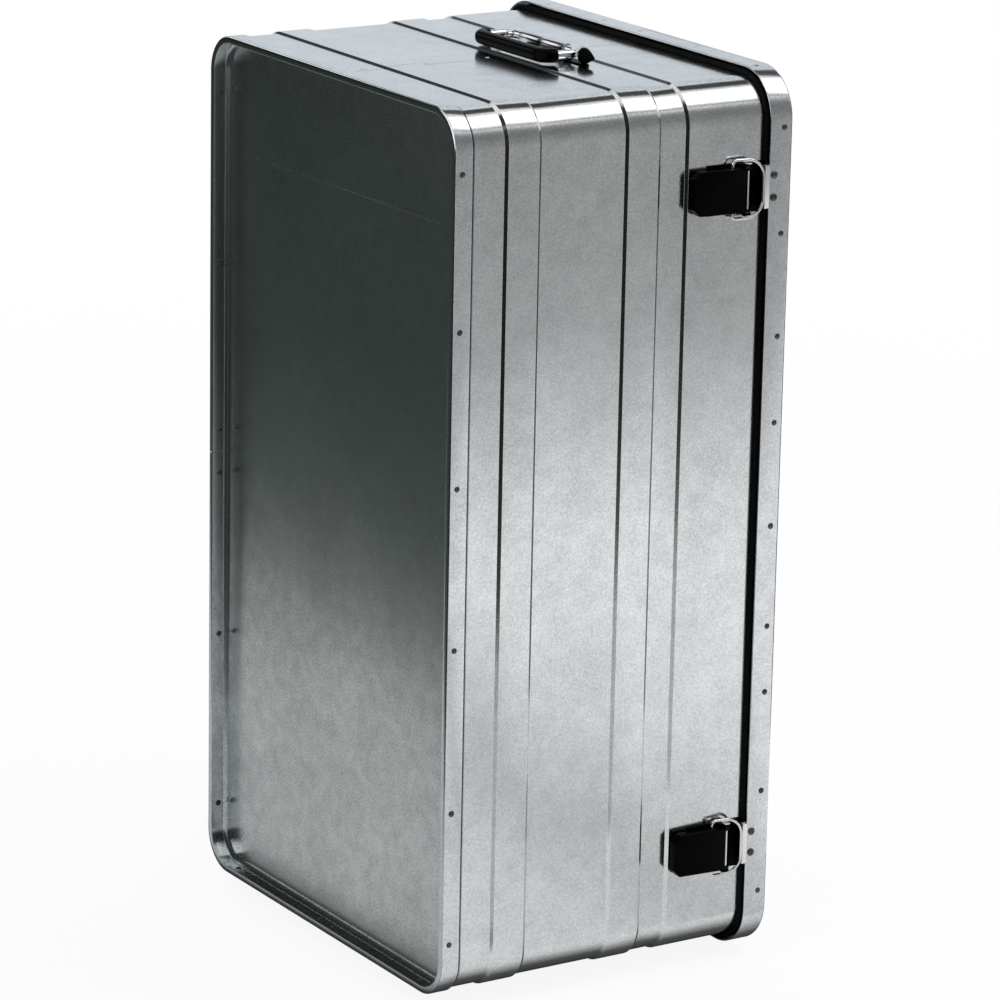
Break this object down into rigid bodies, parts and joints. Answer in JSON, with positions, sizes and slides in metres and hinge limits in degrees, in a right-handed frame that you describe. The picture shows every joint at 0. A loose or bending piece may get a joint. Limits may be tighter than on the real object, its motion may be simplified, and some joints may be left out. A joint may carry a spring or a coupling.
{
  "type": "aluminium transport box",
  "caption": "Oblong aluminium transport box with rounded corners, beaded walls, a hinged lid, lever latches and drop handles.",
  "frame": {"origin": "centre of the box at the level of its base rim, at the bottom centre of the bounding box", "axes": "+X along the long side, +Z from the base rim up to the lid, latches on the -Y side and hinges on the +Y side"},
  "size_m": [0.829, 0.4562, 0.342],
  "materials": {
    "beaded_sheet": "satin, fine grain",
    "base_sheet": "satin, fine grain",
    "frame_profile": "satin",
    "lid_sheet": "satin, fine grain",
    "seal_rubber": "matt black",
    "zinc_steel": "zinc plated",
    "bright_steel": "bright plated",
    "black_lever": "black coated",
    "black_bracket": "black coated",
    "black_grip": "moulded black"
  },
  "bodies": {
    "case": {"body_wall": "beaded_sheet", "wall_seam_strip": "beaded_sheet", "base_panel": "base_sheet", "base_frame": "frame_profile", "rim_band": "beaded_sheet", "rim_seal": "seal_rubber", "hinge_1_body_leaf": "zinc_steel", "hinge_1_pin": "zinc_steel", "hinge_2_body_leaf": "zinc_steel", "hinge_2_pin": "zinc_steel", "hinge_3_body_leaf": "zinc_steel", "hinge_3_pin": "zinc_steel", "latch_left_plate": "black_lever", "latch_left_pin": "zinc_steel", "latch_right_plate": "black_lever", "latch_right_pin": "zinc_steel", "handle_left_bracket_1": "black_bracket", "handle_left_bracket_2": "black_bracket", "handle_right_bracket_1": "black_bracket", "handle_right_bracket_2": "black_bracket"},
    "lid": {"lid_frame": "frame_profile", "lid_panel": "lid_sheet", "hinge_1_lid_leaf": "zinc_steel", "hinge_2_lid_leaf": "zinc_steel", "hinge_3_lid_leaf": "zinc_steel", "latch_left_catch": "zinc_steel", "latch_left_catch_rivet_1": "zinc_steel", "latch_left_catch_rivet_2": "zinc_steel", "latch_right_catch": "zinc_steel", "latch_right_catch_rivet_1": "zinc_steel", "latch_right_catch_rivet_2": "zinc_steel"},
    "lever_left": {"latch_left_lever": "black_lever"},
    "bail_left": {"latch_left_bail": "zinc_steel"},
    "lever_right": {"latch_right_lever": "black_lever"},
    "bail_right": {"latch_right_bail": "zinc_steel"},
    "handle_left": {"handle_left_ring": "bright_steel", "handle_left_grip": "black_grip"},
    "handle_right": {"handle_right_ring": "bright_steel", "handle_right_grip": "black_grip"}
  },
  "joints": [
    {"name": "lid_hinge", "type": "hinge", "parent": "case", "child": "lid", "pos_m": [0, 0.22495, 0.313], "axis": [-1, 0, 0], "range_deg": [0, 100]},
    {"name": "latch_left_turn", "type": "hinge", "parent": "case", "child": "lever_left", "pos_m": [-0.3075, -0.2225, 0.294], "axis": [-1, 0, 0], "range_deg": [0, 150]},
    {"name": "bail_left_turn", "type": "hinge", "parent": "lever_left", "child": "bail_left", "pos_m": [-0.3075, -0.2201, 0.28], "axis": [-1, 0, 0], "range_deg": [-150, 0]},
    {"name": "latch_right_turn", "type": "hinge", "parent": "case", "child": "lever_right", "pos_m": [0.3005, -0.2225, 0.294], "axis": [-1, 0, 0], "range_deg": [0, 150]},
    {"name": "bail_right_turn", "type": "hinge", "parent": "lever_right", "child": "bail_right", "pos_m": [0.3005, -0.2201, 0.28], "axis": [-1, 0, 0], "range_deg": [-150, 0]},
    {"name": "handle_left_swing", "type": "hinge", "parent": "case", "child": "handle_left", "pos_m": [-0.408, -0.0095, 0.218], "axis": [0, 1, 0], "range_deg": [0, 95]},
    {"name": "handle_right_swing", "type": "hinge", "parent": "case", "child": "handle_right", "pos_m": [0.408, -0.0095, 0.218], "axis": [0, -1, 0], "range_deg": [0, 95]}
  ],
  "couplings": [
    {"joint": "bail_left_turn", "follows": "latch_left_turn", "ratio": -1},
    {"joint": "bail_right_turn", "follows": "latch_right_turn", "ratio": -1}
  ]
}
